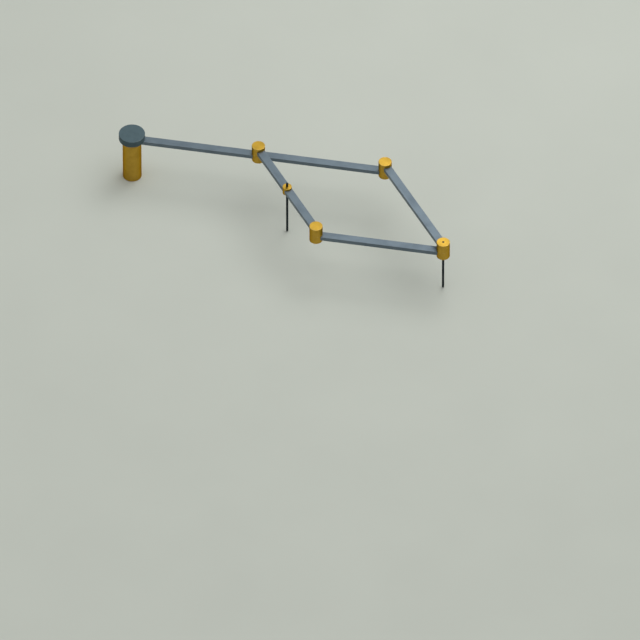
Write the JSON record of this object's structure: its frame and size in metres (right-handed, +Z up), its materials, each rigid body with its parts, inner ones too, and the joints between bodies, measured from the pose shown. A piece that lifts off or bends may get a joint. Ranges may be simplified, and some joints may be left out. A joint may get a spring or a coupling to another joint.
{
  "type": "drawing pantograph",
  "caption": "Drawing pantograph: flat tube arms jointed at brass barrels into a folding parallelogram, on a heavy round post, with a tracer and a pencil rod reaching the paper.",
  "frame": {"origin": "centre of the fulcrum post's underside, on the table", "axes": "+Z up. +X runs from the post along the instrument to the pencil; the arms lie evenly to both sides of it, the long arm towards +Y."},
  "size_m": [0.9516, 0.3516, 0.174],
  "materials": {
    "turned_brass": "satin turned brass, fine circular tool marks",
    "arm_anodised": "blue-grey satin anodised",
    "dark_cap": "dark blue-grey satin",
    "dark_rod": "darkened steel",
    "plain_steel": "turned steel",
    "plain_aluminium": "milled, bare",
    "bearing_bronze": "bearing bronze, bored",
    "ballast": "cast, bare",
    "foot_rubber": "matt black rubber",
    "graphite": "graphite"
  },
  "bodies": {
    "base": {"post_shell": "turned_brass", "ballast_core": "ballast", "base_plate": "plain_steel", "rubber_foot": "foot_rubber", "pivot_spindle": "plain_steel", "spindle_washer": "plain_steel", "spindle_nut": "plain_steel", "thrust_washer": "bearing_bronze"},
    "long_arm": {"swivel_head": "turned_brass", "head_bush": "bearing_bronze", "head_cap": "dark_cap", "cap_screws": "plain_steel", "long_arm_tube": "arm_anodised", "long_arm_head_plug": "plain_aluminium", "long_arm_mid_plug": "plain_aluminium", "long_arm_end_plug": "plain_aluminium", "knuckle_a_lower": "turned_brass", "knuckle_b_lower": "turned_brass", "pivot_screw_a": "plain_steel", "pivot_screw_b": "plain_steel", "long_arm_pivot_nuts": "plain_steel", "bottom_cap_a": "turned_brass", "bottom_cap_b": "turned_brass"},
    "tracer_arm": {"tracer_arm_tube": "arm_anodised", "tracer_arm_end_plugs": "plain_aluminium", "tracer_arm_mid_plug": "plain_aluminium", "knuckle_a_upper": "turned_brass", "knuckle_c_upper": "turned_brass", "pivot_bush_a": "bearing_bronze", "pivot_bush_c": "bearing_bronze", "top_cap_a": "turned_brass", "top_cap_c": "turned_brass", "tracer_collar": "turned_brass", "tracer_sleeve": "turned_brass", "tracer_clamp_screw": "plain_steel"},
    "pencil_arm": {"pencil_arm_tube": "arm_anodised", "pencil_arm_end_plugs": "plain_aluminium", "knuckle_b_upper": "turned_brass", "knuckle_d_upper": "turned_brass", "pivot_bush_b": "bearing_bronze", "top_cap_b": "turned_brass", "top_cap_d": "turned_brass", "pencil_sleeve": "plain_steel", "sleeve_ring_nut": "turned_brass", "pencil_clamp_screw": "plain_steel"},
    "link_arm": {"link_arm_tube": "arm_anodised", "link_arm_end_plugs": "plain_aluminium", "knuckle_c_lower": "turned_brass", "knuckle_d_lower": "turned_brass", "pivot_screw_c": "plain_steel", "pivot_nut_c": "plain_steel", "pivot_bush_d": "bearing_bronze", "bottom_cap_c": "turned_brass", "bottom_cap_d": "turned_brass"},
    "tracer": {"tracer_rod": "dark_rod"},
    "pencil": {"lead_holder": "dark_rod", "pencil_lead": "graphite"}
  },
  "joints": [
    {"name": "head_swivel", "type": "hinge", "parent": "base", "child": "long_arm", "pos_m": [0, 0, 0.1215], "axis": [0, 0, 1], "continuous": true},
    {"name": "tracer_pivot", "type": "hinge", "parent": "long_arm", "child": "tracer_arm", "pos_m": [0.29999, 0.14999, 0.1405], "axis": [0, 0, -1], "range_deg": [-44, 115]},
    {"name": "pencil_pivot", "type": "hinge", "parent": "long_arm", "child": "pencil_arm", "pos_m": [0.59998, 0.29999, 0.1405], "axis": [0, 0, -1], "range_deg": [-44, 115]},
    {"name": "link_pivot", "type": "hinge", "parent": "tracer_arm", "child": "link_arm", "pos_m": [0.59998, 0, 0.1405], "axis": [0, 0, 1], "range_deg": [-44, 115]},
    {"name": "tracer_lift", "type": "slide", "parent": "tracer_arm", "child": "tracer", "axis": [0, 0, 1], "range_m": [0, 0.015]},
    {"name": "pencil_lift", "type": "slide", "parent": "pencil_arm", "child": "pencil", "axis": [0, 0, 1], "range_m": [0, 0.015]}
  ],
  "couplings": [
    {"joint": "pencil_pivot", "follows": "tracer_pivot", "ratio": 1},
    {"joint": "link_pivot", "follows": "tracer_pivot", "ratio": 1}
  ]
}
